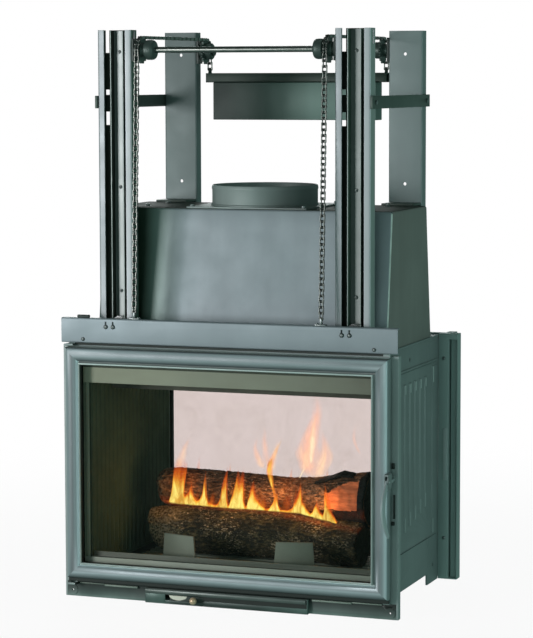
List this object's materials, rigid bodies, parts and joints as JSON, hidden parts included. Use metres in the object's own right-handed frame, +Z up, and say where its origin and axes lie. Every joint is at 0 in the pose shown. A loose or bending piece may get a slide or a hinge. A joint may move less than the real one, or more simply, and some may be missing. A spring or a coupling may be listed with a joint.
{
  "type": "fireplace insert",
  "caption": "Built-in see-through fireplace insert: lift-up glazed front on chains with a counterweight, smoke hood with flue collar, hinged rear door.",
  "frame": {"origin": "middle of the footprint, on the plane of the feet", "axes": "+X to the right seen from the lift-up door, +Y to the back, +Z up"},
  "size_m": [0.82, 0.6886, 1.325],
  "materials": {
    "satin_steel": "satin anthracite heat-proof paint",
    "frame_paint": "satin anthracite heat-proof paint, lighter",
    "dark_paint": "matt dark heat-proof paint",
    "cast_lining": "soot-darkened cast iron",
    "fire_irons": "grey cast iron",
    "bare_steel": "oiled steel",
    "chain_steel": "oiled roller chain",
    "fastener": "blackened steel",
    "pane": "clear heat-proof glass ceramic",
    "rope_seal": "woven glass-fibre rope",
    "refractory": "pressed heat-proof board",
    "bark": "rough bark on split firewood",
    "brass_knob": "polished",
    "roller_steel": "ground ball-bearing roller"
  },
  "bodies": {
    "root": {"front_plate": "frame_paint", "rear_plate": "satin_steel", "side_panels": "satin_steel", "pan_head_screws": "fastener", "base_plenum": "dark_paint", "hearth_floor": "cast_lining", "side_linings": "cast_lining", "glass_sills": "refractory", "air_wash_strips": "refractory", "smoke_baffle": "refractory", "top_plate": "satin_steel", "smoke_hood": "satin_steel", "flue_collar": "dark_paint", "hex_bolts": "fastener", "front_rails": "frame_paint", "roller_tracks": "satin_steel", "rear_posts": "frame_paint", "upright_braces": "dark_paint", "sprocket_supports": "fastener", "top_chains": "chain_steel", "front_chains": "chain_steel", "rear_chains": "chain_steel", "frame_seal": "rope_seal", "rear_door_jamb": "satin_steel", "air_box": "frame_paint", "andirons": "fire_irons", "log_grate": "fire_irons", "logs": "bark"},
    "lift_shaft": {"lift_shaft": "bare_steel", "front_sprockets": "fastener"},
    "rear_sprocket_left": {"rear_sprocket_left": "fastener"},
    "rear_sprocket_right": {"rear_sprocket_right": "fastener"},
    "counterweight": {"counterweight_case": "satin_steel", "weight_plates": "fastener", "counterweight_beam": "satin_steel"},
    "door_carriage": {"crossbeam": "frame_paint", "carriage_frame": "satin_steel", "roller_brackets": "fastener", "carriage_screws": "fastener", "chain_anchors": "fastener"},
    "roller_left_lower": {"roller_left_lower": "roller_steel"},
    "roller_left_upper": {"roller_left_upper": "roller_steel"},
    "roller_right_lower": {"roller_right_lower": "roller_steel"},
    "roller_right_upper": {"roller_right_upper": "roller_steel"},
    "front_door": {"front_door_frame": "satin_steel", "front_door_moulding": "frame_paint", "front_door_glass": "pane", "front_door_seal": "rope_seal", "front_door_glass_clips": "fastener", "front_door_handle_bracket": "fastener"},
    "front_handle": {"front_door_handle": "frame_paint"},
    "rear_door": {"rear_door_frame": "satin_steel", "rear_door_moulding": "frame_paint", "rear_door_glass": "pane", "rear_door_seal": "rope_seal", "rear_door_glass_clips": "fastener", "rear_door_handle_bracket": "fastener"},
    "rear_handle": {"rear_door_handle": "frame_paint"},
    "air_control": {"air_slide": "fastener", "air_knob": "brass_knob"}
  },
  "joints": [
    {"name": "door_lift", "type": "slide", "parent": "root", "child": "door_carriage", "axis": [0, 0, 1], "range_m": [0, 0.5], "deforming": ["front_chains", "rear_chains"]},
    {"name": "counterweight_travel", "type": "slide", "parent": "root", "child": "counterweight", "axis": [0, 0, 1], "range_m": [-0.5, 0]},
    {"name": "lift_shaft_spin", "type": "hinge", "parent": "root", "child": "lift_shaft", "pos_m": [0, -0.20175, 1.279], "axis": [1, 0, 0], "range_deg": [-1008.9, 0]},
    {"name": "rear_sprocket_left_spin", "type": "hinge", "parent": "root", "child": "rear_sprocket_left", "pos_m": [-0.228, 0.19825, 1.279], "axis": [1, 0, 0], "range_deg": [-1008.9, 0]},
    {"name": "rear_sprocket_right_spin", "type": "hinge", "parent": "root", "child": "rear_sprocket_right", "pos_m": [0.228, 0.19825, 1.279], "axis": [1, 0, 0], "range_deg": [-1008.9, 0]},
    {"name": "front_door_swing", "type": "hinge", "parent": "door_carriage", "child": "front_door", "pos_m": [-0.388, -0.26935, 0.317], "axis": [0, 0, -1], "range_deg": [0, 90]},
    {"name": "front_handle_turn", "type": "hinge", "parent": "front_door", "child": "front_handle", "pos_m": [0.3985, -0.30375, 0.321], "axis": [-1, 0, 0], "range_deg": [0, 55]},
    {"name": "rear_door_swing", "type": "hinge", "parent": "root", "child": "rear_door", "pos_m": [0.388, 0.26935, 0.317], "axis": [0, 0, -1], "range_deg": [0, 90]},
    {"name": "rear_handle_turn", "type": "hinge", "parent": "rear_door", "child": "rear_handle", "pos_m": [-0.3985, 0.30375, 0.321], "axis": [1, 0, 0], "range_deg": [0, 55]},
    {"name": "air_control_slide", "type": "slide", "parent": "root", "child": "air_control", "axis": [1, 0, 0], "range_m": [-0.055, 0]},
    {"name": "roller_left_lower_spin", "type": "hinge", "parent": "door_carriage", "child": "roller_left_lower", "pos_m": [-0.289, -0.20225, 0.618], "axis": [0, 1, 0], "range_deg": [-2111.5, 0]},
    {"name": "roller_left_upper_spin", "type": "hinge", "parent": "door_carriage", "child": "roller_left_upper", "pos_m": [-0.289, -0.20225, 0.648], "axis": [0, 1, 0], "range_deg": [-2111.5, 0]},
    {"name": "roller_right_lower_spin", "type": "hinge", "parent": "door_carriage", "child": "roller_right_lower", "pos_m": [0.289, -0.20225, 0.618], "axis": [0, 1, 0], "range_deg": [0, 2111.5]},
    {"name": "roller_right_upper_spin", "type": "hinge", "parent": "door_carriage", "child": "roller_right_upper", "pos_m": [0.289, -0.20225, 0.648], "axis": [0, 1, 0], "range_deg": [0, 2111.5]}
  ],
  "couplings": [
    {"joint": "counterweight_travel", "follows": "door_lift", "ratio": -1},
    {"joint": "lift_shaft_spin", "follows": "door_lift", "rad_per_m": -35.043},
    {"joint": "rear_sprocket_left_spin", "follows": "door_lift", "rad_per_m": -35.043},
    {"joint": "rear_sprocket_right_spin", "follows": "door_lift", "rad_per_m": -35.043},
    {"joint": "roller_left_lower_spin", "follows": "door_lift", "rad_per_m": -73.529},
    {"joint": "roller_left_upper_spin", "follows": "door_lift", "rad_per_m": -73.529},
    {"joint": "roller_right_lower_spin", "follows": "door_lift", "rad_per_m": 73.529},
    {"joint": "roller_right_upper_spin", "follows": "door_lift", "rad_per_m": 73.529}
  ]
}
